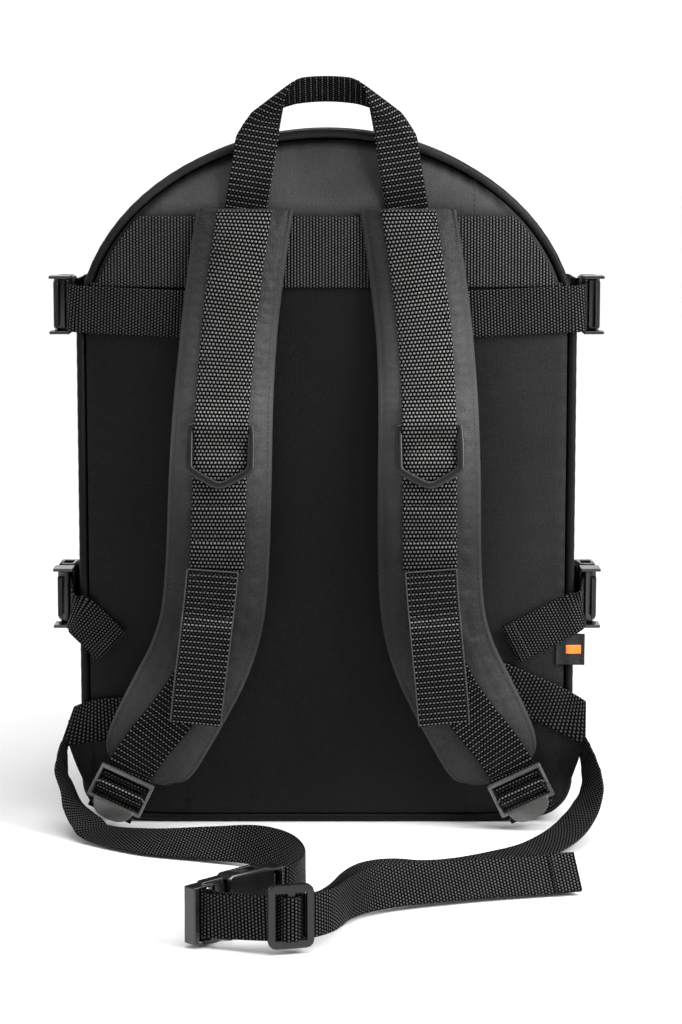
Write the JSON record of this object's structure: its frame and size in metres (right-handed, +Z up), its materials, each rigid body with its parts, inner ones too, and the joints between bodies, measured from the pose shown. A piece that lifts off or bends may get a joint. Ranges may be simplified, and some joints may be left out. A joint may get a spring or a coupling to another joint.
{
  "type": "sports backpack",
  "caption": "Sports backpack with curved padded shoulder straps, grab handle, side compression straps with side-release buckles and a loose waist belt.",
  "frame": {"origin": "middle of the flat base, on the floor, halfway across the pack", "axes": "+Z up the pack, harness side facing -Y, +X to the right when looking at the harness side"},
  "size_m": [0.3925, 0.5153, 0.5256],
  "materials": {
    "cloth": "plain-weave polyester",
    "webbing": "coarse woven webbing",
    "gloss_plastic": "semi-gloss moulded",
    "matte_plastic": "matte moulded"
  },
  "bodies": {
    "pack": {"back_panel": "cloth", "panel_piping": "cloth", "gusset": "cloth", "front_panel": "cloth", "shoulder_pad_left": "cloth", "corner_wing_left": "cloth", "shoulder_pad_right": "cloth", "corner_wing_right": "cloth", "zip": "webbing", "top_band": "webbing", "grab_handle": "webbing", "strap_webbing_left": "webbing", "strap_tab_left": "webbing", "lower_webbing_left": "webbing", "adjust_strap_left": "webbing", "upper_strap_left": "webbing", "upper_front_strap_left": "webbing", "lower_strap_left": "webbing", "lower_front_strap_left": "webbing", "hip_webbing_left": "webbing", "strap_webbing_right": "webbing", "strap_tab_right": "webbing", "lower_webbing_right": "webbing", "adjust_strap_right": "webbing", "upper_strap_right": "webbing", "upper_front_strap_right": "webbing", "lower_strap_right": "webbing", "lower_front_strap_right": "webbing", "hip_webbing_right": "webbing", "side_tag": "webbing", "belt_left": "webbing", "belt_right": "webbing", "belt_tail": "webbing", "upper_tongue_left": "gloss_plastic", "upper_socket_left": "gloss_plastic", "lower_tongue_left": "gloss_plastic", "lower_socket_left": "gloss_plastic", "upper_tongue_right": "gloss_plastic", "upper_socket_right": "gloss_plastic", "lower_tongue_right": "gloss_plastic", "lower_socket_right": "gloss_plastic", "waist_tongue": "gloss_plastic", "waist_socket": "gloss_plastic", "zip_slider": "matte_plastic", "ladder_lock_left": "matte_plastic", "ladder_lock_right": "matte_plastic", "belt_slider": "matte_plastic"},
    "ring_left": {"d_ring_left": "matte_plastic"},
    "ring_right": {"d_ring_right": "matte_plastic"}
  },
  "joints": [
    {"name": "ring_left_hinge", "type": "hinge", "parent": "pack", "child": "ring_left", "pos_m": [-0.07062, -0.13529, 0.28891], "axis": [-0.9998, 0, 0.0178], "range_deg": [0, 150]},
    {"name": "ring_right_hinge", "type": "hinge", "parent": "pack", "child": "ring_right", "pos_m": [0.07062, -0.13529, 0.28891], "axis": [-0.9998, 0, -0.0178], "range_deg": [0, 150]}
  ]
}
